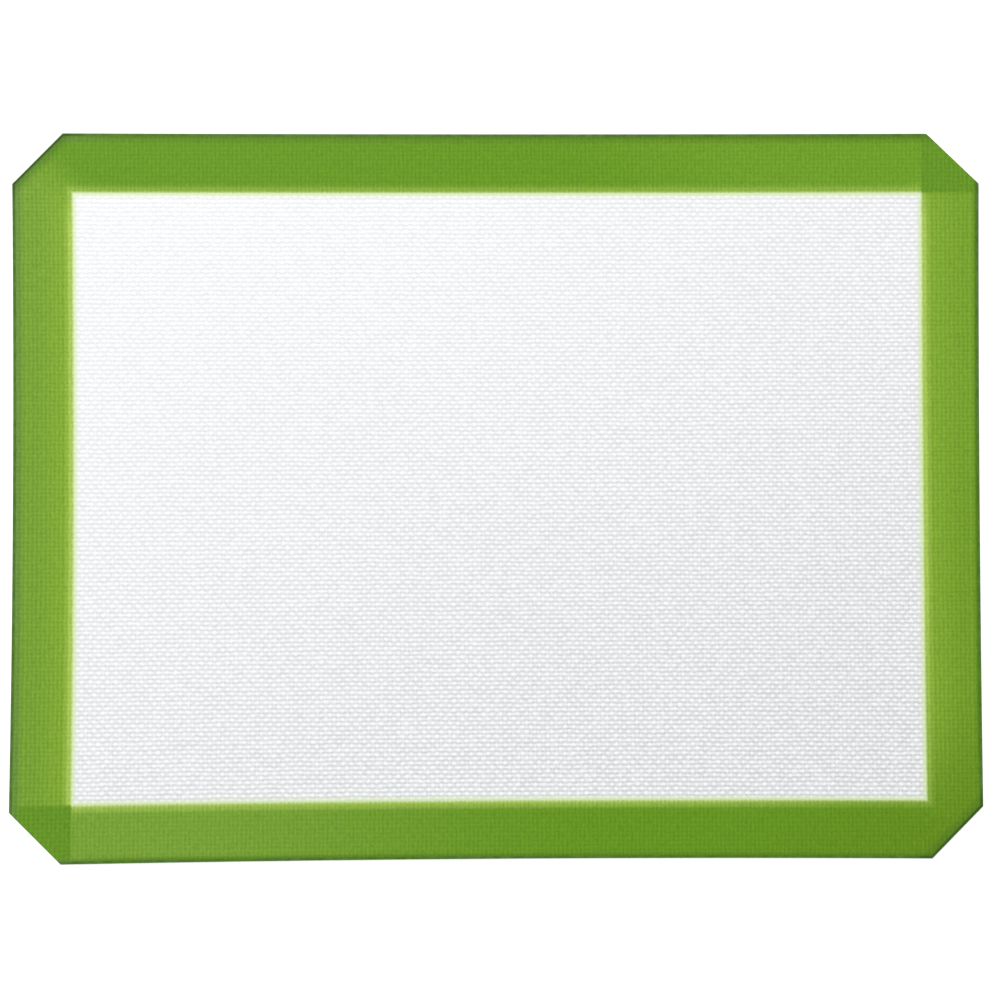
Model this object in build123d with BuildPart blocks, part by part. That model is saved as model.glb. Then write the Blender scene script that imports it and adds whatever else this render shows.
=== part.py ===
from build123d import *
import math
import os

# A silicone baking mat, lying flat with its baking surface up.
# The origin is the centre of the underside. X runs along the mat's length, Y across it and Z up.
# All lengths are in millimetres.

# Driving dimensions of the mat
mat_length = 400.0
mat_width = 300.0
corner_cut = 21.0  # each leg of the cut across a corner

# The coloured border: how far the white window stands in from each edge of the mat
border_left = 24.8
border_right = 23.0
border_top = 24.6
border_bottom = 23.4
print_thickness = 0.1  # one printed layer of border silicone
print_bite = 0.02  # how far the border on the baking face is bedded into the coat
lap_ramp = 1.0  # where the second strip climbs on to the first

# The bead that seals the cloth's cut edge
bead_width = 1.2
bead_round = 0.35

# The silicone coats on the two sides of the glass cloth
coat_thickness = 0.35

# The glass cloth: warp yarns run across the mat and weft yarns run along it
warp_pitch = 1.76
warp_yarn_width = 1.1
weft_pitch = 1.82
weft_yarn_width = 1.3
yarn_thickness = 0.13

overrun = 5.0  # how far a cutting shape reaches past the mat

# Heights, from the underside up
coat_bottom_z = print_thickness
cloth_middle_z = coat_bottom_z + coat_thickness
face_z = cloth_middle_z + coat_thickness
border_seat_z = face_z - print_bite
border_face_z = face_z + print_thickness

# Places of the white window's sides
window_left_x = border_left - mat_length / 2
window_right_x = mat_length / 2 - border_right
window_top_y = mat_width / 2 - border_top
window_bottom_y = border_bottom - mat_width / 2

# The cloth ends short of the mat's outline by the bead. At the two corners that have no bead,
# the corner cut goes through the cloth as well.
cloth_length = mat_length - 2 * bead_width
cloth_width = mat_width - 2 * bead_width
beaded_cloth_cut = corner_cut - (2 - math.sqrt(2)) * bead_width
bare_cloth_cut = corner_cut - 2 * bead_width

warp_count = 1 + int((cloth_length - warp_yarn_width) / warp_pitch)
weft_count = 1 + int((cloth_width - weft_yarn_width) / weft_pitch)

os.makedirs("parts", exist_ok=True)


def draw_mat_outline(mode=Mode.ADD):
    """The mat's whole outline: a rectangle with its four corners cut off."""
    with BuildSketch(mode=Mode.PRIVATE) as outline:
        Rectangle(mat_length, mat_width)
        chamfer(outline.vertices(), corner_cut)
    add(outline.sketch, mode=mode)


def draw_cloth_outline(mode=Mode.ADD):
    """The outline of the coated cloth, inside the beads."""
    with BuildSketch(mode=Mode.PRIVATE) as outline:
        Rectangle(cloth_length, cloth_width)
        along_diagonal = outline.vertices().sort_by(Axis((0, 0, 0), (1, 1, 0)))
        bare_corners = [along_diagonal[0], along_diagonal[-1]]
        beaded_corners = along_diagonal[1:-1]
        chamfer(bare_corners, bare_cloth_cut)
        chamfer(beaded_corners, beaded_cloth_cut)
    add(outline.sketch, mode=mode)


def draw_whole_border():
    """Everything on the coated cloth outside the white window."""
    draw_cloth_outline()
    with Locations((window_left_x, window_bottom_y)):
        Rectangle(
            window_right_x - window_left_x,
            window_top_y - window_bottom_y,
            align=(Align.MIN, Align.MIN),
            mode=Mode.SUBTRACT,
        )


def draw_left_top_strip():
    """The first border strip: the left side and the top, as one L."""
    draw_cloth_outline()
    with Locations((window_left_x, window_top_y)):
        Rectangle(
            mat_length + overrun,
            mat_width + overrun,
            align=(Align.MIN, Align.MAX),
            mode=Mode.SUBTRACT,
        )


def draw_right_bottom_strip():
    """The second border strip: the right side and the bottom, as one L."""
    draw_cloth_outline()
    with Locations((window_right_x, window_bottom_y)):
        Rectangle(
            mat_length + overrun,
            mat_width + overrun,
            align=(Align.MAX, Align.MIN),
            mode=Mode.SUBTRACT,
        )


def draw_warp_yarns():
    """Flat yarns side by side along the mat, each running from one long edge to the other."""
    with GridLocations(warp_pitch, 0, warp_count, 1):
        Rectangle(warp_yarn_width, mat_width)
    draw_cloth_outline(mode=Mode.INTERSECT)


def draw_weft_yarns():
    """Flat yarns side by side across the mat, each running from one short edge to the other."""
    with GridLocations(0, weft_pitch, 1, weft_count):
        Rectangle(mat_length, weft_yarn_width)
    draw_cloth_outline(mode=Mode.INTERSECT)


# Glass cloth
# The warp lies just under the middle of the cloth and the weft just over it.
with BuildPart() as glass_warp_yarns:
    with BuildSketch(Plane.XY.offset(cloth_middle_z - yarn_thickness)):
        draw_warp_yarns()
    extrude(amount=yarn_thickness)
glass_warp_yarns.part.label = "glass_warp_yarns"
export_step(glass_warp_yarns.part, "parts/glass_warp_yarns.step")

with BuildPart() as glass_weft_yarns:
    with BuildSketch(Plane.XY.offset(cloth_middle_z)):
        draw_weft_yarns()
    extrude(amount=yarn_thickness)
glass_weft_yarns.part.label = "glass_weft_yarns"
export_step(glass_weft_yarns.part, "parts/glass_weft_yarns.step")


# White silicone coats
# Each coat has a channel round each yarn on its side, and the two coats meet between the yarns.
# The top coat stands a little lower under the border, so the white window is a face of its own.
with BuildPart() as silicone_coat_bottom:
    with BuildSketch(Plane.XY.offset(coat_bottom_z)):
        draw_cloth_outline()
    extrude(amount=coat_thickness)
    with BuildSketch(Plane.XY.offset(cloth_middle_z - yarn_thickness)):
        draw_warp_yarns()
    extrude(amount=yarn_thickness, mode=Mode.SUBTRACT)
silicone_coat_bottom.part.label = "silicone_coat_bottom"
export_step(silicone_coat_bottom.part, "parts/silicone_coat_bottom.step")

with BuildPart() as silicone_coat_top:
    with BuildSketch(Plane.XY.offset(cloth_middle_z)):
        draw_cloth_outline()
    extrude(amount=coat_thickness)
    with BuildSketch(Plane.XY.offset(cloth_middle_z)):
        draw_weft_yarns()
    extrude(amount=yarn_thickness, mode=Mode.SUBTRACT)
    with BuildSketch(Plane.XY.offset(border_seat_z)):
        draw_whole_border()
    extrude(amount=print_bite, mode=Mode.SUBTRACT)
silicone_coat_top.part.label = "silicone_coat_top"
export_step(silicone_coat_top.part, "parts/silicone_coat_top.step")


# Border strips on the baking face
with BuildPart() as border_face_left_top:
    with BuildSketch(Plane.XY.offset(border_seat_z)):
        draw_left_top_strip()
    extrude(amount=print_bite + print_thickness)
border_face_left_top.part.label = "border_face_left_top"
export_step(border_face_left_top.part, "parts/border_face_left_top.step")

# The second strip climbs on to the first at two corners and runs over it there.
# A block with two sloping sides takes its upper half away everywhere else.
with BuildPart() as border_face_right_bottom:
    with BuildSketch(Plane.XY.offset(border_seat_z)):
        draw_right_bottom_strip()
    extrude(amount=print_bite + 2 * print_thickness)
    with BuildSketch(Plane.XY.offset(border_face_z)):
        with Locations((window_left_x + lap_ramp, window_top_y - lap_ramp)):
            Rectangle(mat_length + overrun, mat_width + overrun, align=(Align.MIN, Align.MAX))
    with BuildSketch(Plane.XY.offset(border_face_z + print_thickness)):
        with Locations((window_left_x, window_top_y)):
            Rectangle(mat_length + overrun, mat_width + overrun, align=(Align.MIN, Align.MAX))
    loft(ruled=True, mode=Mode.SUBTRACT)
    add(border_face_left_top.part, mode=Mode.SUBTRACT)
border_face_right_bottom.part.label = "border_face_right_bottom"
export_step(border_face_right_bottom.part, "parts/border_face_right_bottom.step")


# Border strips on the underside
# Here the two strips meet edge to edge, so that the mat lies flat.
with BuildPart() as border_back_left_top:
    with BuildSketch(Plane.XY):
        draw_left_top_strip()
    extrude(amount=print_thickness)
border_back_left_top.part.label = "border_back_left_top"
export_step(border_back_left_top.part, "parts/border_back_left_top.step")

with BuildPart() as border_back_right_bottom:
    with BuildSketch(Plane.XY):
        draw_right_bottom_strip()
    extrude(amount=print_thickness)
    add(border_back_left_top.part, mode=Mode.SUBTRACT)
border_back_right_bottom.part.label = "border_back_right_bottom"
export_step(border_back_right_bottom.part, "parts/border_back_right_bottom.step")


# Edge beads
# Each bead runs along two sides and round the cut corner between them. The outer edges of the
# mat are rounded, and the cloth's outline then divides what is left outside it into the two beads.
with BuildPart() as bead_blank:
    with BuildSketch(Plane.XY):
        draw_mat_outline()
    extrude(amount=border_face_z)
    fillet(bead_blank.faces().filter_by(Axis.Z).edges(), bead_round)
    with BuildSketch(Plane.XY):
        draw_cloth_outline()
    extrude(amount=border_face_z, mode=Mode.SUBTRACT)
beads = bead_blank.solids().sort_by(Axis.X)

with BuildPart() as edge_bead_left_top:
    add(beads[0])
edge_bead_left_top.part.label = "edge_bead_left_top"
export_step(edge_bead_left_top.part, "parts/edge_bead_left_top.step")

with BuildPart() as edge_bead_right_bottom:
    add(beads[-1])
edge_bead_right_bottom.part.label = "edge_bead_right_bottom"
export_step(edge_bead_right_bottom.part, "parts/edge_bead_right_bottom.step")
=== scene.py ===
import math

import bmesh
import bpy
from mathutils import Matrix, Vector


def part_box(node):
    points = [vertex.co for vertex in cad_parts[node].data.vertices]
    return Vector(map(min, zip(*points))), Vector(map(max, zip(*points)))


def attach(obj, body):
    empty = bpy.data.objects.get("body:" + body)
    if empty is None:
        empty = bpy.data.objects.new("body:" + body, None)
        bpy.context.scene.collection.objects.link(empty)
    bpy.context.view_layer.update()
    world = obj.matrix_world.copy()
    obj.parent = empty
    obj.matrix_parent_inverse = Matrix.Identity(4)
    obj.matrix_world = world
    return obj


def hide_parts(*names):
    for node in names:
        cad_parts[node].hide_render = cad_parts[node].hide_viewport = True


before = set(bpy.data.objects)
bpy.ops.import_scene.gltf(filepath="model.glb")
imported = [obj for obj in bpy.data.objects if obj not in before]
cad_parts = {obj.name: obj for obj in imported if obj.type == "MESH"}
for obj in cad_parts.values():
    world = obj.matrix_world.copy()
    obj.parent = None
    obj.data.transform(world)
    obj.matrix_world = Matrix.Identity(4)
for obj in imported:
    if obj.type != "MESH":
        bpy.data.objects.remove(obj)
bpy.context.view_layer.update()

# A silicone baking mat seen from above. All lengths are in metres.
MM = 0.001

# Sizes of the mat that the frame doesn't give
WARP_PITCH = 1.76 * MM
WEFT_PITCH = 1.82 * MM
WARP_COUNT = 226
WEFT_COUNT = 163
CORNER_CUT = 21.0 * MM
BORDER_LEFT = 24.8 * MM
BORDER_RIGHT = 23.0 * MM
BORDER_TOP = 24.6 * MM
BORDER_BOTTOM = 23.4 * MM
PRINT = 0.1 * MM  # thickness of one printed layer
LAP_RAMP = 1.0 * MM  # where the second strip climbs on to the first
FEATHER = 0.35 * MM  # how wide the printed edge thins out at the window
FEATHER_SHARE = 0.15  # how much of the layer's thickness is left at the very edge
BEAD_ROUND = 0.35 * MM

# How far a face falls for each 1 that the weave's form falls
WINDOW_RELIEF = 0.035 * MM
BORDER_RELIEF = 0.014 * MM
BACK_BORDER_SHARE = 0.5  # the underside's border has this share of the relief

# How much the weave's rows, columns and checks each count in the relief
WINDOW_WEAVE_SHARES = (0.45, 0.2, 0.35)
BORDER_WEAVE_SHARES = (0.3, 0.5, 0.2)

# The mat's corners lie a little outside a true rectangle, by this much on each side
BOW_LEFT = 1.32 * MM
BOW_RIGHT = 0.75 * MM
BOW_TOP = 0.41 * MM
BOW_BOTTOM = 1.43 * MM

# The border also spreads outwards a little, most at the top right and bottom left corners
SPREAD_LEFT = 0.33 * MM
SPREAD_RIGHT = 0.9 * MM
SPREAD_TOP = 0.15 * MM
SPREAD_BOTTOM = 0.6 * MM
SPREAD_TILT = 0.4 * MM

# How finely the meshes are made
SHARP_ANGLE = math.radians(40)
ARC_STEPS = 5  # in each quarter turn of the bead's section
BEAD_STEP = 4 * MM  # the longest step along a bead
CUT_TOLERANCE = 1e-7  # a point nearer than this to a corner cut lies on it
GRID_DIGITS = 8  # a grid line is rounded to this many decimals of a metre
CLEAR_PARTS = 12  # and left out where it is nearer to an exact line than a pitch divided by this

# The name under which a mesh keeps each point's place before it is settled
FLAT_PLACE = "flat_place"

# Places read from the frame
mat_low, mat_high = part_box("edge_bead_left_top")
other_low, other_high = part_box("edge_bead_right_bottom")
coat_low, coat_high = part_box("silicone_coat_top")
back_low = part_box("silicone_coat_bottom")[0]
LEFT_X = mat_low[0]
TOP_Y = mat_high[1]
RIGHT_X = other_high[0]
BOTTOM_Y = other_low[1]
CLOTH_X = coat_high[0]
CLOTH_Y = coat_high[1]
CLOTH_MIDDLE_Z = coat_low[2]
FACE_Z = coat_high[2]
BACK_Z = back_low[2]
BORDER_FACE_Z = FACE_Z + PRINT

# The white window's sides
WINDOW_LEFT = LEFT_X + BORDER_LEFT
WINDOW_RIGHT = RIGHT_X - BORDER_RIGHT
WINDOW_TOP = TOP_Y - BORDER_TOP
WINDOW_BOTTOM = BOTTOM_Y + BORDER_BOTTOM

# The cloth's cut corners. Each has the signs of x and y at its corner, and what the sizes of x and y
# add up to along its cut. Two corners have a bead outside the cloth, and two are cut through bare.
BEAD = RIGHT_X - CLOTH_X
CUT_REACH = RIGHT_X + TOP_Y - CORNER_CUT
BEADED_REACH = CUT_REACH - BEAD * math.sqrt(2)
CORNER_CUTS = [
    ((1, 1), CUT_REACH),
    ((-1, -1), CUT_REACH),
    ((-1, 1), BEADED_REACH),
    ((1, -1), BEADED_REACH),
]


# Heights of the faces
def weave(x, y, rows, columns, checks):
    """A plain weave's form, between -1 and 1. Weft yarns are rows, and warp yarns are columns."""
    u = x / WARP_PITCH + (WARP_COUNT - 1) / 2
    v = y / WEFT_PITCH + (WEFT_COUNT - 1) / 2
    row = math.cos(2 * math.pi * v)
    column = math.cos(2 * math.pi * u)
    check = math.cos(math.pi * u) * math.cos(math.pi * v)
    return (rows * row + columns * column + checks * check) / (rows + columns + checks)


def window_height(x, y):
    """Height of the baking face: the crests of the weave lie at the coat's own height."""
    inside = min(x - WINDOW_LEFT, WINDOW_RIGHT - x, y - WINDOW_BOTTOM, WINDOW_TOP - y)
    if inside < 0:
        return FACE_Z
    return FACE_Z - WINDOW_RELIEF * (1 - weave(x, y, *WINDOW_WEAVE_SHARES))


def back_height(x, y):
    """Height of the underside, which has the same weave upside down."""
    return BACK_Z + (FACE_Z - window_height(x, y))


def smooth_step(value):
    """Eases a value from 0 to 1, and holds it there at both ends."""
    value = min(max(value, 0), 1)
    return value * value * (3 - 2 * value)


def border_relief(x, y):
    """How far the border's face lies below the crests of its weave."""
    return BORDER_RELIEF * (1 - weave(x, y, *BORDER_WEAVE_SHARES))


def border_thickness(outside):
    """A printed layer thins out to a soft edge beside the window."""
    return PRINT * (FEATHER_SHARE + (1 - FEATHER_SHARE) * smooth_step(outside / FEATHER))


def lap(x, y):
    """How far the second strip has climbed on to the first, from 0 to 1."""
    top_right = min((y - WINDOW_TOP + LAP_RAMP) / LAP_RAMP, (x - WINDOW_RIGHT) / LAP_RAMP + 1)
    bottom_left = min((WINDOW_LEFT + LAP_RAMP - x) / LAP_RAMP, (WINDOW_BOTTOM - y) / LAP_RAMP + 1)
    return smooth_step(max(top_right, bottom_left))


def left_top_height(x, y):
    """Height of the first strip's face."""
    outside = max(WINDOW_LEFT - x, y - WINDOW_TOP)
    return FACE_Z + border_thickness(outside) - border_relief(x, y)


def right_bottom_height(x, y):
    """Height of the second strip's face, which rises where it laps over the first."""
    outside = max(x - WINDOW_RIGHT, WINDOW_BOTTOM - y)
    return FACE_Z + border_thickness(outside) + PRINT * lap(x, y) - border_relief(x, y)


def right_bottom_base(x, y):
    """Height of what the second strip lies on: the coat, or the first strip at the two laps."""
    on_first = (x >= WINDOW_RIGHT and y >= WINDOW_TOP) or (x <= WINDOW_LEFT and y <= WINDOW_BOTTOM)
    return BORDER_FACE_Z if on_first else FACE_Z


def back_border_height(x, y):
    """Height of the underside's border above the surface that the mat lies on."""
    return border_relief(x, y) * BACK_BORDER_SHARE


def at_height(z):
    """A face that is flat at one height."""
    return lambda x, y: z


# Which places of the cloth a piece covers
def everywhere(x, y):
    return True


def in_left_top(x, y):
    return x < WINDOW_LEFT or y > WINDOW_TOP


def in_right_bottom(x, y):
    return x > WINDOW_RIGHT or y < WINDOW_BOTTOM


def back_right_bottom_only(x, y):
    return in_right_bottom(x, y) and not in_left_top(x, y)


# Meshes
def settled(x, y):
    """Where a place of the true rectangle lies on the mat, whose sides bow in and whose border spreads."""
    bow_x = BOW_LEFT if x < 0 else BOW_RIGHT
    bow_y = BOW_BOTTOM if y < 0 else BOW_TOP
    across = x / RIGHT_X
    along = y / TOP_Y
    left = max((WINDOW_LEFT - x) / (WINDOW_LEFT - LEFT_X), 0)
    right = max((x - WINDOW_RIGHT) / (RIGHT_X - WINDOW_RIGHT), 0)
    top = max((y - WINDOW_TOP) / (TOP_Y - WINDOW_TOP), 0)
    bottom = max((WINDOW_BOTTOM - y) / (WINDOW_BOTTOM - BOTTOM_Y), 0)
    moved_x = across * bow_x * along ** 2
    moved_x += right * (SPREAD_RIGHT + SPREAD_TILT * along) - left * (SPREAD_LEFT - SPREAD_TILT * along)
    moved_y = along * bow_y * across ** 2
    moved_y += top * SPREAD_TOP - bottom * SPREAD_BOTTOM
    return x + moved_x, y + moved_y


def finish_mesh(name, mesh):
    """Settles a flat mesh into the mat's outline. The materials read each point's flat place."""
    places = mesh.attributes.new(FLAT_PLACE, "FLOAT_VECTOR", "POINT")
    for vert, place in zip(mesh.vertices, places.data):
        place.vector = vert.co
        vert.co.x, vert.co.y = settled(vert.co.x, vert.co.y)
    mesh.shade_smooth()
    mesh.set_sharp_from_angle(angle=SHARP_ANGLE)
    piece = bpy.data.objects.new(name, mesh)
    bpy.context.scene.collection.objects.link(piece)
    return piece


def grid_lines(low, high, pitch, extra):
    """Places along one side, two to each yarn, with the exact ends and any extra lines."""
    first = math.ceil(2 * low / pitch)
    last = math.floor(2 * high / pitch)
    lines = {round(k * pitch / 2, GRID_DIGITS) for k in range(first, last + 1)}
    kept_clear = pitch / CLEAR_PARTS
    exact = [low, high] + [value for value in extra if low < value < high]
    lines = {value for value in lines if all(abs(value - other) > kept_clear for other in exact)}
    return sorted(lines | set(exact))


def cut_corners(bm):
    """Cuts the cloth's four corners off a flat sheet."""
    for (nx, ny), reach in CORNER_CUTS:
        whole = [*bm.verts, *bm.edges, *bm.faces]
        place = (nx * reach / 2, ny * reach / 2, 0)
        bmesh.ops.bisect_plane(
            bm,
            geom=whole,
            dist=CUT_TOLERANCE,
            plane_co=place,
            plane_no=(nx, ny, 0),
            clear_outer=True,
        )


def grid_piece(name, xs, ys, keeps, relief_z, flat_z, one_flat_face):
    """A closed sheet on a grid: one side follows relief_z and the other flat_z."""
    bm = bmesh.new()
    verts = [[bm.verts.new((x, y, 0)) for y in ys] for x in xs]
    for i in range(len(xs) - 1):
        for j in range(len(ys) - 1):
            middle_x = (xs[i] + xs[i + 1]) / 2
            middle_y = (ys[j] + ys[j + 1]) / 2
            if keeps(middle_x, middle_y):
                bm.faces.new((verts[i][j], verts[i + 1][j], verts[i + 1][j + 1], verts[i][j + 1]))
    bmesh.ops.delete(bm, geom=[v for v in bm.verts if not v.link_faces], context="VERTS")
    cut_corners(bm)
    first_faces = list(bm.faces)
    made = bmesh.ops.extrude_face_region(bm, geom=first_faces, use_keep_orig=True)["geom"]
    relief_verts = {item for item in made if isinstance(item, bmesh.types.BMVert)}
    for vert in bm.verts:
        height = relief_z if vert in relief_verts else flat_z
        vert.co.z = height(vert.co.x, vert.co.y)
    if one_flat_face:
        bmesh.ops.delete(bm, geom=first_faces, context="FACES")
        rim = [edge for edge in bm.edges if len(edge.link_faces) == 1]
        bmesh.ops.contextual_create(bm, geom=rim)
    bmesh.ops.recalc_face_normals(bm, faces=bm.faces)
    mesh = bpy.data.meshes.new(name)
    bm.to_mesh(mesh)
    bm.free()
    return finish_mesh(name, mesh)


def bead_section():
    """The bead's cross-section, as how far in from the outer edge and how high."""
    points = [(BEAD, 0.0)]
    turns = [math.pi / 2 * k / ARC_STEPS for k in range(ARC_STEPS + 1)]
    for turn in turns:
        points.append((BEAD_ROUND * (1 - math.sin(turn)), BEAD_ROUND * (1 - math.cos(turn))))
    for turn in turns:
        height = BORDER_FACE_Z - BEAD_ROUND * (1 - math.sin(turn))
        points.append((BEAD_ROUND * (1 - math.cos(turn)), height))
    points.append((BEAD, BORDER_FACE_Z))
    return points


def bead_piece(name, sign):
    """A bead along two sides and round the cut between them. With sign -1 it is turned half round."""
    slant = math.sqrt(2) - 1
    stations = [
        ((LEFT_X, CORNER_CUT - TOP_Y), (1, -1)),
        ((LEFT_X, TOP_Y - CORNER_CUT), (1, -slant)),
        ((LEFT_X + CORNER_CUT, TOP_Y), (slant, -1)),
        ((-LEFT_X - CORNER_CUT, TOP_Y), (1, -1)),
    ]
    section = bead_section()
    rings = []
    for (place, inward), (next_place, next_inward) in zip(stations, stations[1:]):
        steps = math.ceil(math.dist(place, next_place) / BEAD_STEP)
        for k in range(steps):
            rings.append([part + (other - part) * k / steps
                          for part, other in zip((*place, *inward), (*next_place, *next_inward))])
    rings.append([*stations[-1][0], *stations[-1][1]])
    verts = [(sign * (x + d * ix), sign * (y + d * iy), z) for x, y, ix, iy in rings for d, z in section]
    count = len(section)
    faces = [list(range(count)), list(range(len(verts) - count, len(verts)))]
    for i in range(len(rings) - 1):
        for j in range(count):
            after = (j + 1) % count
            faces.append([i * count + j, i * count + after, (i + 1) * count + after, (i + 1) * count + j])
    mesh = bpy.data.meshes.new(name)
    mesh.from_pydata(verts, [], faces)
    bm = bmesh.new()
    bm.from_mesh(mesh)
    bmesh.ops.recalc_face_normals(bm, faces=bm.faces)
    bm.to_mesh(mesh)
    bm.free()
    return finish_mesh(name, mesh)


# Materials. Noise scales are in cycles a metre, and colours are in linear light.
NOISE_RANGE = (0.3, 0.7)  # where most of a noise's values lie
FINE_DETAIL = 3.0
GRAIN_SCALE = 1500.0
WANDER_SCALE = 90.0
WANDER = 0.25  # how far a yarn wanders to each side, in pitches


class Nodes:
    """Builds one material's nodes, with a short call for each sum."""

    def __init__(self, name, on_mat=True):
        """With on_mat the mesh keeps its flat places. The yarns and the floor have none."""
        self.material = bpy.data.materials.new(name)
        self.material.use_nodes = True
        self.tree = self.material.node_tree
        self.shader = self.tree.nodes["Principled BSDF"]
        if on_mat:
            reader = self.tree.nodes.new("ShaderNodeAttribute")
            reader.attribute_name = FLAT_PLACE
            self.place = reader.outputs["Vector"]
        else:
            self.place = self.tree.nodes.new("ShaderNodeTexCoord").outputs["Object"]
        parts = self.tree.nodes.new("ShaderNodeSeparateXYZ")
        self.tree.links.new(self.place, parts.inputs[0])
        self.x = parts.outputs["X"]
        self.y = parts.outputs["Y"]
        self.z = parts.outputs["Z"]

    def feed(self, socket, value):
        """Gives a socket another node's output, or a value of its own."""
        if isinstance(value, bpy.types.NodeSocket):
            self.tree.links.new(value, socket)
        else:
            socket.default_value = value

    def give(self, socket_name, value):
        """Feeds one of the shader's own sockets."""
        self.feed(self.shader.inputs[socket_name], value)

    def sum(self, operation, first, second=0.0, third=0.0):
        """One sum of numbers or of other nodes' outputs."""
        node = self.tree.nodes.new("ShaderNodeMath")
        node.operation = operation
        for socket, value in zip(node.inputs, (first, second, third)):
            self.feed(socket, value)
        return node.outputs[0]

    def noise(self, scale, detail=2.0, stretch=(1, 1, 1)):
        """Smooth noise from 0 to 1."""
        mapping = self.tree.nodes.new("ShaderNodeMapping")
        mapping.inputs["Scale"].default_value = stretch
        self.tree.links.new(self.place, mapping.inputs["Vector"])
        node = self.tree.nodes.new("ShaderNodeTexNoise")
        node.inputs["Scale"].default_value = scale
        node.inputs["Detail"].default_value = detail
        self.tree.links.new(mapping.outputs[0], node.inputs["Vector"])
        return node.outputs[0]

    def centred_noise(self, reach, scale, stretch=(1, 1, 1)):
        """Smooth noise from -reach to reach."""
        return self.sum("MULTIPLY_ADD", self.noise(scale, stretch=stretch), 2 * reach, -reach)

    def ramp(self, value, low, high, to_low=0.0, to_high=1.0):
        """Maps value from low..high to to_low..to_high, smoothly and with its ends held."""
        node = self.tree.nodes.new("ShaderNodeMapRange")
        node.interpolation_type = "SMOOTHSTEP"
        for socket, number in zip(node.inputs, (value, low, high, to_low, to_high)):
            self.feed(socket, number)
        return node.outputs[0]

    def mix(self, factor, first, second):
        """Mixes two colours. The node's colour sockets are its inputs 6 and 7 and its output 2."""
        node = self.tree.nodes.new("ShaderNodeMix")
        node.data_type = "RGBA"
        self.feed(node.inputs[0], factor)
        for socket, colour in zip((node.inputs[6], node.inputs[7]), (first, second)):
            self.feed(socket, colour if isinstance(colour, bpy.types.NodeSocket) else (*colour, 1.0))
        return node.outputs[2]

    def brighten(self, colour, value):
        """Multiplies a colour's brightness by a value."""
        node = self.tree.nodes.new("ShaderNodeHueSaturation")
        self.feed(node.inputs["Color"], colour)
        self.feed(node.inputs["Value"], value)
        return node.outputs[0]

    def weave(self, rows, columns, checks):
        """The same weave as the mesh, but its yarns wander a little and the shares needn't add up to 1."""
        wander = self.centred_noise(WANDER, WANDER_SCALE)
        u = self.sum("MULTIPLY_ADD", self.x, 1 / WARP_PITCH, (WARP_COUNT - 1) / 2)
        v = self.sum("MULTIPLY_ADD", self.y, 1 / WEFT_PITCH, (WEFT_COUNT - 1) / 2)
        u = self.sum("MULTIPLY", self.sum("ADD", u, wander), math.pi)
        v = self.sum("MULTIPLY", self.sum("ADD", v, wander), math.pi)
        row = self.sum("COSINE", self.sum("MULTIPLY", v, 2.0))
        column = self.sum("COSINE", self.sum("MULTIPLY", u, 2.0))
        check = self.sum("MULTIPLY", self.sum("COSINE", u), self.sum("COSINE", v))
        total = self.sum("MULTIPLY", row, rows)
        total = self.sum("MULTIPLY_ADD", column, columns, total)
        return self.sum("MULTIPLY_ADD", check, checks, total)

    def level(self, pattern, grain, uneven, weave_share, grain_share):
        """Adds up weave, grain and unevenness: above 0 towards the crests, below it towards the pits."""
        total = self.sum("MULTIPLY_ADD", pattern, weave_share, -grain_share / 2)
        total = self.sum("MULTIPLY_ADD", grain, grain_share, total)
        return self.sum("ADD", total, uneven)

    def roughen(self, pattern, smoothest, roughest):
        """Lets a noise set the roughness."""
        self.give("Roughness", self.ramp(pattern, *NOISE_RANGE, smoothest, roughest))

    def bump(self, height, distance):
        """Shades the surface as if it were raised by the distance for each 1 of height."""
        node = self.tree.nodes.new("ShaderNodeBump")
        node.inputs["Distance"].default_value = distance
        self.tree.links.new(height, node.inputs["Height"])
        self.give("Normal", node.outputs[0])

    def outside_window(self):
        """How far a place lies past the window's upright sides, and how far past its level sides."""
        across = self.sum("MAXIMUM", self.sum("SUBTRACT", WINDOW_LEFT, self.x),
                          self.sum("SUBTRACT", self.x, WINDOW_RIGHT))
        along = self.sum("MAXIMUM", self.sum("SUBTRACT", self.y, WINDOW_TOP),
                         self.sum("SUBTRACT", WINDOW_BOTTOM, self.y))
        return across, along

    def inside_outline(self):
        """How far in a place lies from the nearest of the mat's four sides."""
        across = self.sum("SUBTRACT", RIGHT_X, self.sum("ABSOLUTE", self.x))
        along = self.sum("SUBTRACT", TOP_Y, self.sum("ABSOLUTE", self.y))
        return self.sum("MINIMUM", across, along)

    def towards_bottom_right(self, x_share=1.0):
        """How far a place lies towards the bottom right corner, where x counts by its share."""
        return self.sum("SUBTRACT", self.sum("MULTIPLY", self.x, x_share), self.y)

    def beaded_cut(self):
        """How far a place lies towards the nearer of the two beaded corner cuts."""
        return self.sum("ABSOLUTE", self.towards_bottom_right())


# The white coat, whose weave's pits are painted with shade. THIN_PRINT is the colour of its glow beside
# the border, and of the border's hem.
WHITE_CREST = (0.95, 0.955, 0.965)
WHITE_CLOUD = (0.915, 0.925, 0.94)
# Painted shade in the weave's pits
WHITE_PIT_SHADE = (0.50, 0.503, 0.495)
THIN_PRINT = (0.62, 0.76, 0.36)
WHITE_WEAVE_SHARES = (0.55, 0.15, 0.5)
WHITE_LEVEL_REACH = 0.55  # the level, up and down, at which the shade stops changing
CLOUD_SCALE = 9.0
CLOUD_RANGE = (0.35, 0.7)
MOTTLE_SCALE = 600.0
# Along this reach towards the bottom right corner, the pits' painted shade deepens
PIT_SHADE_REACH = (-240 * MM, 240 * MM)
GLOW_REACH = (-2.8 * MM, 0.2 * MM)
WHITE_BUMP = 0.05 * MM
WHITE_BUMP_GRAIN_SHARE = 0.6


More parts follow.
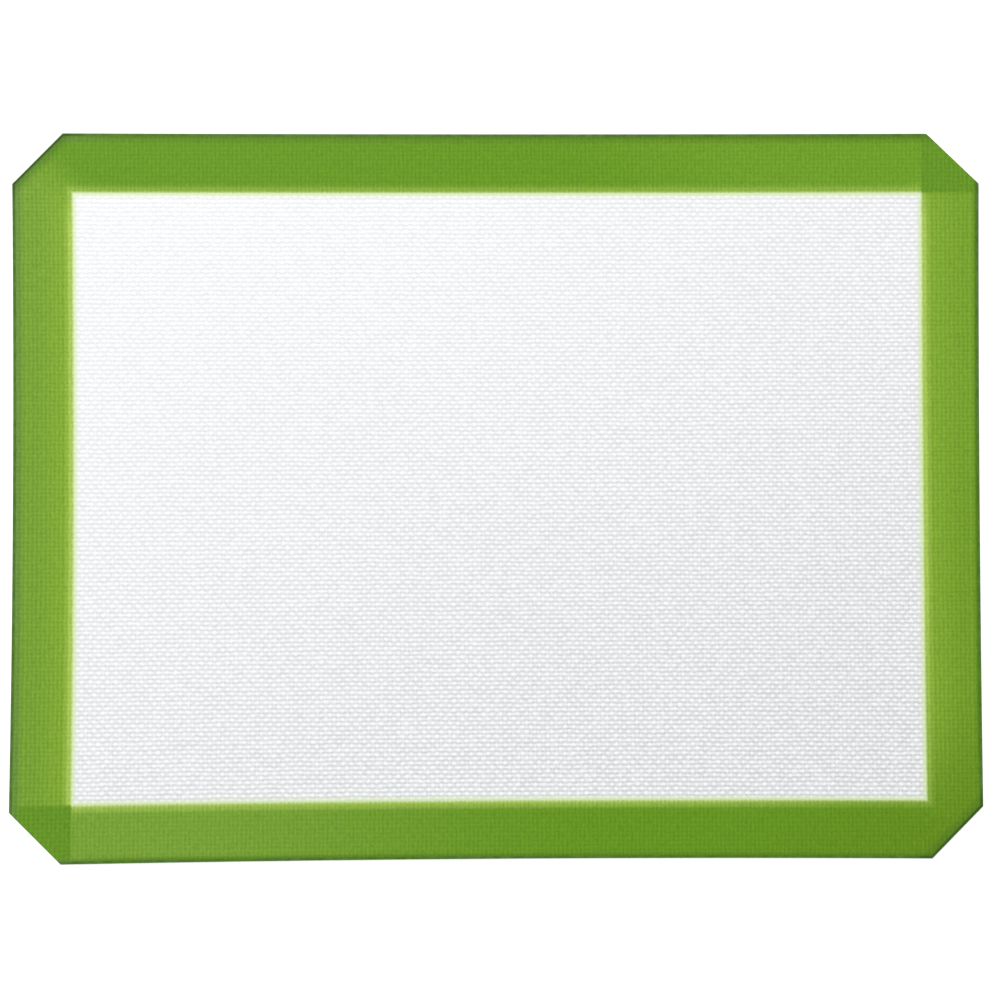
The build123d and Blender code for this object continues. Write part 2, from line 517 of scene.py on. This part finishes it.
def white_silicone():
    """Satin white silicone over the cloth, with painted shade in the weave's pits, and tinted green beside
    the border.
    """
    n = Nodes("white_silicone")
    pattern = n.weave(*WHITE_WEAVE_SHARES)
    grain = n.noise(GRAIN_SCALE, FINE_DETAIL)
    mottle = n.centred_noise(reach=0.3, scale=MOTTLE_SCALE)
    level = n.level(pattern, grain, mottle, weave_share=0.42, grain_share=0.8)
    # The pits are painted with shade, which is darker towards the bottom right corner
    pit_shade_gain = n.ramp(n.towards_bottom_right(x_share=0.55), *PIT_SHADE_REACH, to_low=0.45, to_high=0.86)
    painted_pit_shade = n.sum("MULTIPLY", n.ramp(level, WHITE_LEVEL_REACH, -WHITE_LEVEL_REACH), pit_shade_gain)
    cloud = n.ramp(n.noise(CLOUD_SCALE, FINE_DETAIL), *CLOUD_RANGE, to_high=0.5)
    colour = n.mix(cloud, WHITE_CREST, WHITE_CLOUD)
    colour = n.mix(painted_pit_shade, colour, WHITE_PIT_SHADE)
    glow = n.ramp(n.sum("MAXIMUM", *n.outside_window()), *GLOW_REACH, to_high=0.8)
    n.give("Base Color", n.mix(glow, colour, THIN_PRINT))
    n.roughen(grain, smoothest=0.42, roughest=0.56)
    n.give("Specular IOR Level", 0.3)
    n.bump(n.sum("MULTIPLY_ADD", grain, WHITE_BUMP_GRAIN_SHARE, pattern), WHITE_BUMP)
    return n.material


# The green border's colours
LEVEL_GREEN = (0.120, 0.280, 0.007)
# Painted light at the left end of the bottom band
BOTTOM_LIGHT_GREEN = (0.175, 0.335, 0.030)
LEFT_GREEN = (0.168, 0.330, 0.026)
RIGHT_GREEN = (0.160, 0.318, 0.016)
PALE_GREEN = (0.205, 0.372, 0.026)
# Painted shade towards the bottom right corner
PAINTED_SHADE_GREEN = (0.118, 0.250, 0.004)
# Painted light towards the top right corner
PAINTED_LIGHT_GREEN = (0.200, 0.380, 0.030)
FRINGE_GREEN = (0.375, 0.535, 0.088)
LAP_GREEN = (0.120, 0.275, 0.012)
LEFT_RIM_GREEN = (0.122, 0.235, 0.040)
RIM_GREEN = (0.096, 0.210, 0.010)
SEAM_GREEN = (0.086, 0.203, 0.003)
CUT_GREEN = (0.070, 0.160, 0.010)

# Where each change of the border's colour starts and ends, by x or y
# Where the bottom band's painted light fades, by x and by y
BOTTOM_LIGHT_X = (-150 * MM, 50 * MM)
BOTTOM_LIGHT_Y = (-60 * MM, -100 * MM)
MIDDLE_X = (-50 * MM, 50 * MM)
LEFT_END_X = (-185 * MM, -150 * MM)
TOP_FRINGE_Y = (110 * MM, 126 * MM)
BOTTOM_END_Y = (-125 * MM, -105 * MM)

# The same by how far a place lies outside the window, or in from the mat's sides
PALE_REACH = (2.0 * MM, 17.0 * MM)
FRINGE_REACH = (0.5 * MM, 4.2 * MM)
HEM_REACH = (0.0, 0.9 * MM)
RIM_REACH = (19.5 * MM, 23.0 * MM)
LAP_REACH = (-0.5 * MM, 0.5 * MM)
SIDE_REACH = (-16 * MM, 16 * MM)
SEAM_REACH = (1.1 * MM, 2.8 * MM)

# The same by how far a place lies towards a corner
# Where the painted shade and the painted light grow towards their corners
PAINTED_SHADE_REACH = (190 * MM, 250 * MM)
PAINTED_LIGHT_REACH = (160 * MM, 250 * MM)
DULL_FRINGE_REACH = (200 * MM, 300 * MM)
BORDER_CUT_REACH = (321 * MM, 327 * MM)
LAP_CORNER_AREA = (0.0, 0.001)  # x times y, in square metres

# How strong the fringe is on the level bands, beside the upright ones
LEVEL_FRINGE_SHARE = 0.75

# The green border's weave and grain
GREEN_WEAVE_SHARES = (0.26, 0.42, 0.06)
LEVEL_WEAVE_GAIN = 0.21  # how much the weave counts on the level bands
UPRIGHT_WEAVE_GAIN = 0.055  # how much is added to that on the upright ones
GREEN_LEVEL_REACH = 0.6
STREAK_SCALE = 1100.0
STREAK_STRETCH = (1, 0.3, 1)
GREEN_BUMP = 0.025 * MM
GREEN_BUMP_GRAIN_SHARE = 0.5


def band_colour(n, near, side):
    """The border's main green with its painted light and shade, apart from its edges and laps."""
    # Painted light: the bottom band starts as pale as the left one and deepens towards the middle
    bottom_left_light = n.sum("MULTIPLY", n.ramp(n.x, *BOTTOM_LIGHT_X, to_low=1.0, to_high=0.0), n.ramp(n.y, *BOTTOM_LIGHT_Y))
    level_band = n.mix(bottom_left_light, LEVEL_GREEN, BOTTOM_LIGHT_GREEN)
    upright_band = n.mix(n.ramp(n.x, *MIDDLE_X), LEFT_GREEN, RIGHT_GREEN)
    band = n.mix(side, level_band, upright_band)
    pale = n.mix(side, level_band, PALE_GREEN)
    colour = n.mix(n.ramp(near, *PALE_REACH), pale, band)
    # Painted shade deepens it towards the bottom right corner, and painted light makes it paler towards
    # the top right one
    corner_shade = n.ramp(n.towards_bottom_right(x_share=0.6), *PAINTED_SHADE_REACH, to_high=0.85)
    colour = n.mix(corner_shade, colour, PAINTED_SHADE_GREEN)
    corner_light = n.ramp(n.sum("ADD", n.x, n.y), *PAINTED_LIGHT_REACH, to_high=0.3)
    return n.mix(corner_light, colour, PAINTED_LIGHT_GREEN)


def lap_share(n, across, along):
    """1 where two strips lie on each other, and 0 elsewhere."""
    both = n.ramp(n.sum("MINIMUM", across, along), *LAP_REACH)
    lapped = n.sum("MULTIPLY", both, n.ramp(n.sum("MULTIPLY", n.x, n.y), *LAP_CORNER_AREA))
    # Only the strips on the baking face lap over each other
    return n.sum("MULTIPLY", lapped, n.ramp(n.z, CLOTH_MIDDLE_Z - PRINT, CLOTH_MIDDLE_Z + PRINT))


def fringe_share(n, near, side, open_edge):
    """How strongly the paler fringe beside the window shows at a place, from 0 to 1."""
    fringe = n.sum("MULTIPLY", n.ramp(near, *FRINGE_REACH, to_low=1.0, to_high=0.0), open_edge)
    # It shows less on the level bands, and least on the top one and towards the bottom right corner
    by_side = n.sum("MULTIPLY_ADD", side, 1 - LEVEL_FRINGE_SHARE, LEVEL_FRINGE_SHARE)
    fringe = n.sum("MULTIPLY", fringe, by_side)
    fringe = n.sum("MULTIPLY", fringe, n.ramp(n.y, *TOP_FRINGE_Y, to_low=1.0, to_high=0.6))
    dull = n.ramp(n.towards_bottom_right(), *DULL_FRINGE_REACH, to_low=1.0, to_high=0.45)
    return n.sum("MULTIPLY", fringe, dull)


def darker_rim(n, colour, near):
    """The border's colour with its darker rim along the mat's sides and beaded cuts."""
    # The rim is a little paler on the left
    past_left = n.ramp(n.x, *LEFT_END_X)
    rim = n.mix(past_left, LEFT_RIM_GREEN, RIM_GREEN)
    colour = n.mix(n.ramp(near, *RIM_REACH, to_high=0.8), colour, rim)
    # Just inside the bead it is darkest, but not on the left and only half as much at the bottom
    seam = n.ramp(n.inside_outline(), *SEAM_REACH, to_low=1.0, to_high=0.0)
    seam = n.sum("MULTIPLY", seam, past_left)
    seam = n.sum("MULTIPLY", seam, n.ramp(n.y, *BOTTOM_END_Y, to_low=0.5))
    colour = n.mix(seam, colour, SEAM_GREEN)
    return n.mix(n.ramp(n.beaded_cut(), *BORDER_CUT_REACH, to_high=0.6), colour, CUT_GREEN)


def green_silicone():
    """Satin green silicone, paler beside the window and darker at the laps and the rim, with painted light
    and shade across its bands.
    """
    n = Nodes("green_silicone")
    across, along = n.outside_window()
    near = n.sum("MAXIMUM", across, along)
    # 0 on the level bands and 1 on the upright ones
    side = n.ramp(n.sum("SUBTRACT", across, along), *SIDE_REACH)
    lapped = lap_share(n, across, along)
    open_edge = n.sum("SUBTRACT", 1.0, lapped)
    colour = band_colour(n, near, side)
    colour = n.mix(fringe_share(n, near, side, open_edge), colour, FRINGE_GREEN)
    colour = n.mix(lapped, colour, LAP_GREEN)
    colour = darker_rim(n, colour, near)
    hem = n.sum("MULTIPLY", n.ramp(near, *HEM_REACH, to_low=0.6, to_high=0.0), open_edge)
    colour = n.mix(hem, colour, THIN_PRINT)
    # The weave's brightness is partly the print's real thickness over the yarns and partly painted light
    # and shade on its crests and pits
    pattern = n.weave(*GREEN_WEAVE_SHARES)
    grain = n.noise(GRAIN_SCALE, FINE_DETAIL)
    streak = n.centred_noise(reach=0.25, scale=STREAK_SCALE, stretch=STREAK_STRETCH)
    # The weave shows more in the two upright bands
    gain = n.sum("MULTIPLY_ADD", side, UPRIGHT_WEAVE_GAIN, LEVEL_WEAVE_GAIN)
    level = n.level(pattern, grain, streak, weave_share=gain, grain_share=0.7)
    brightness = n.ramp(level, -GREEN_LEVEL_REACH, GREEN_LEVEL_REACH, to_low=0.70, to_high=1.30)
    n.give("Base Color", n.brighten(colour, brightness))
    n.roughen(grain, smoothest=0.40, roughest=0.55)
    n.give("Specular IOR Level", 0.16)
    n.bump(n.sum("MULTIPLY_ADD", grain, GREEN_BUMP_GRAIN_SHARE, pattern), GREEN_BUMP)
    return n.material


# The edge bead
BEAD_GREEN = (0.064, 0.145, 0.016)
WORN_BEAD_GREEN = (0.096, 0.195, 0.028)
BEAD_CUT_GREEN = (0.030, 0.078, 0.005)
WORN_SCALE = 260.0
BEAD_GRAIN_SCALE = 1800.0
BEAD_CUT_REACH = (318 * MM, 327 * MM)
BEAD_BUMP = 0.02 * MM


def green_bead():
    """Solid green silicone past the cloth's edge, darker than the printed border."""
    n = Nodes("green_bead")
    worn = n.noise(WORN_SCALE, FINE_DETAIL)
    colour = n.mix(n.ramp(worn, *NOISE_RANGE), BEAD_GREEN, WORN_BEAD_GREEN)
    colour = n.mix(n.ramp(n.beaded_cut(), *BEAD_CUT_REACH, to_high=0.7), colour, BEAD_CUT_GREEN)
    n.give("Base Color", colour)
    n.roughen(worn, smoothest=0.42, roughest=0.55)
    n.give("Specular IOR Level", 0.1)
    n.bump(n.noise(BEAD_GRAIN_SCALE), BEAD_BUMP)
    return n.material


# The glass yarns
GLASS_SHADE = (0.66, 0.68, 0.66)
GLASS_LIGHT = (0.86, 0.87, 0.85)
STRAND_SCALE = 9000.0
STRAND_BUMP = 0.02 * MM


def glass_fibre():
    """Off-white glass yarn with fine filaments."""
    n = Nodes("glass_fibre", on_mat=False)
    strands = n.noise(STRAND_SCALE)
    n.give("Base Color", n.mix(strands, GLASS_SHADE, GLASS_LIGHT))
    n.roughen(strands, smoothest=0.5, roughest=0.7)
    n.bump(strands, STRAND_BUMP)
    return n.material


# The floor
PAPER_SHADE = (0.96, 0.96, 0.96)
PAPER_LIGHT = (0.98, 0.98, 0.98)
PAPER_SCALE = 30.0


def floor_finish():
    """Plain white studio paper."""
    n = Nodes("studio_paper", on_mat=False)
    n.give("Base Color", n.mix(n.noise(PAPER_SCALE), PAPER_SHADE, PAPER_LIGHT))
    n.give("Roughness", 0.9)
    n.give("Specular IOR Level", 0.1)
    n.give("Emission Color", (1, 1, 1, 1))
    n.give("Emission Strength", 0.3)
    return n.material


# Pieces. Each takes the material that is named like its slot.
MATERIALS = {
    "white_silicone": white_silicone(),
    "green_silicone": green_silicone(),
    "green_bead": green_bead(),
    "glass_fibre": glass_fibre(),
}


def add_piece(piece, node, slot):
    """Puts a piece in the place of a node."""
    piece.data.materials.append(MATERIALS[slot])
    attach(piece, "root")
    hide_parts(node)
    return piece


def add_coat(name, node, relief_z):
    """One white coat, flat on its cloth side."""
    xs = [-CLOTH_X] + grid_lines(WINDOW_LEFT, WINDOW_RIGHT, WARP_PITCH, []) + [CLOTH_X]
    ys = [-CLOTH_Y] + grid_lines(WINDOW_BOTTOM, WINDOW_TOP, WEFT_PITCH, []) + [CLOTH_Y]
    flat_z = at_height(CLOTH_MIDDLE_Z)
    piece = grid_piece(name, xs, ys, everywhere, relief_z, flat_z, one_flat_face=True)
    return add_piece(piece, node, "white_silicone")


def add_strip(name, node, keeps, relief_z, flat_z):
    """One border strip, with lines of its grid where its thickness changes."""
    from_left = [WINDOW_LEFT - FEATHER, WINDOW_LEFT, WINDOW_LEFT + LAP_RAMP]
    from_right = [WINDOW_RIGHT, WINDOW_RIGHT + FEATHER]
    from_bottom = [WINDOW_BOTTOM - FEATHER, WINDOW_BOTTOM]
    from_top = [WINDOW_TOP - LAP_RAMP, WINDOW_TOP, WINDOW_TOP + FEATHER]
    xs = grid_lines(-CLOTH_X, CLOTH_X, WARP_PITCH, from_left + from_right)
    ys = grid_lines(-CLOTH_Y, CLOTH_Y, WEFT_PITCH, from_bottom + from_top)
    piece = grid_piece(name, xs, ys, keeps, relief_z, flat_z, one_flat_face=False)
    return add_piece(piece, node, "green_silicone")


def add_bead(name, node, sign):
    """One edge bead. Sign 1 is the one along the left and the top, and -1 the other."""
    return add_piece(bead_piece(name, sign), node, "green_bead")


cloth = add_coat("baking_face_coat", "silicone_coat_top", window_height)
on_cloth = [
    add_coat("underside_coat", "silicone_coat_bottom", back_height),
    add_strip("face_strip_left_top", "border_face_left_top",
              in_left_top, left_top_height, at_height(FACE_Z)),
    add_strip("face_strip_right_bottom", "border_face_right_bottom",
              in_right_bottom, right_bottom_height, right_bottom_base),
    add_strip("back_strip_left_top", "border_back_left_top",
              in_left_top, back_border_height, at_height(BACK_Z)),
    add_strip("back_strip_right_bottom", "border_back_right_bottom",
              back_right_bottom_only, back_border_height, at_height(BACK_Z)),
    add_bead("rim_left_top", "edge_bead_left_top", 1),
    add_bead("rim_right_bottom", "edge_bead_right_bottom", -1),
]


def finish_node(node, material):
    """Gives a piece that keeps its own shape its finish."""
    shown = bpy.data.objects[node]
    if not shown.material_slots:
        shown.data.materials.append(material)
    for slot in shown.material_slots:
        slot.material = material


finish_node("glass_warp_yarns", MATERIALS["glass_fibre"])
finish_node("glass_weft_yarns", MATERIALS["glass_fibre"])


# Floor, light and camera
FLOOR_HALF = 3.0

# The key light stands beyond the mat's top left corner and shines on its middle
KEY_PLACE = Vector((-0.464, 0.995, 1.256))
KEY_WIDTH = 0.35
KEY_POWER = 10.66  # watts
KEY_COLOUR = (1.0, 0.99, 0.98)
WORLD_COLOUR = (0.97, 0.985, 1.0, 1.0)
WORLD_STRENGTH = 0.81

# The camera looks almost straight down. Its place and tilt are those from which the mat's outline
# falls where the photograph has it.
CAMERA_PLACE = (-13.04 * MM, -19.91 * MM, 747.2 * MM)
CAMERA_TILT = (math.radians(1.348), math.radians(-1.06), math.radians(-0.216))
CAMERA_LENS = 64.8  # millimetres, as Blender takes it
SENSOR_WIDTH = 36.0  # millimetres too


def add_floor():
    corners = [(-1, -1), (1, -1), (1, 1), (-1, 1)]
    mesh = bpy.data.meshes.new("studio_floor")
    mesh.from_pydata([(FLOOR_HALF * x, FLOOR_HALF * y, 0) for x, y in corners], [], [(0, 1, 2, 3)])
    floor = bpy.data.objects.new("studio_floor", mesh)
    mesh.materials.append(floor_finish())
    bpy.context.scene.collection.objects.link(floor)


def add_key_light():
    lamp = bpy.data.lights.new("key_light", "AREA")
    lamp.shape = "DISK"
    lamp.size = KEY_WIDTH
    lamp.energy = KEY_POWER
    lamp.color = KEY_COLOUR
    light = bpy.data.objects.new("key_light", lamp)
    light.location = KEY_PLACE
    light.rotation_euler = (-KEY_PLACE).to_track_quat("-Z", "Y").to_euler()
    bpy.context.scene.collection.objects.link(light)


def add_world():
    world = bpy.data.worlds.new("studio_world")
    world.use_nodes = True
    background = world.node_tree.nodes["Background"]
    background.inputs["Color"].default_value = WORLD_COLOUR
    background.inputs["Strength"].default_value = WORLD_STRENGTH
    bpy.context.scene.world = world


def add_camera():
    eye = bpy.data.cameras.new("photo_camera")
    eye.lens = CAMERA_LENS
    eye.sensor_width = SENSOR_WIDTH
    camera = bpy.data.objects.new("photo_camera", eye)
    camera.location = CAMERA_PLACE
    camera.rotation_euler = CAMERA_TILT
    bpy.context.scene.collection.objects.link(camera)
    bpy.context.scene.camera = camera


add_floor()
add_key_light()
add_world()
add_camera()
bpy.context.scene.view_settings.view_transform = "Standard"
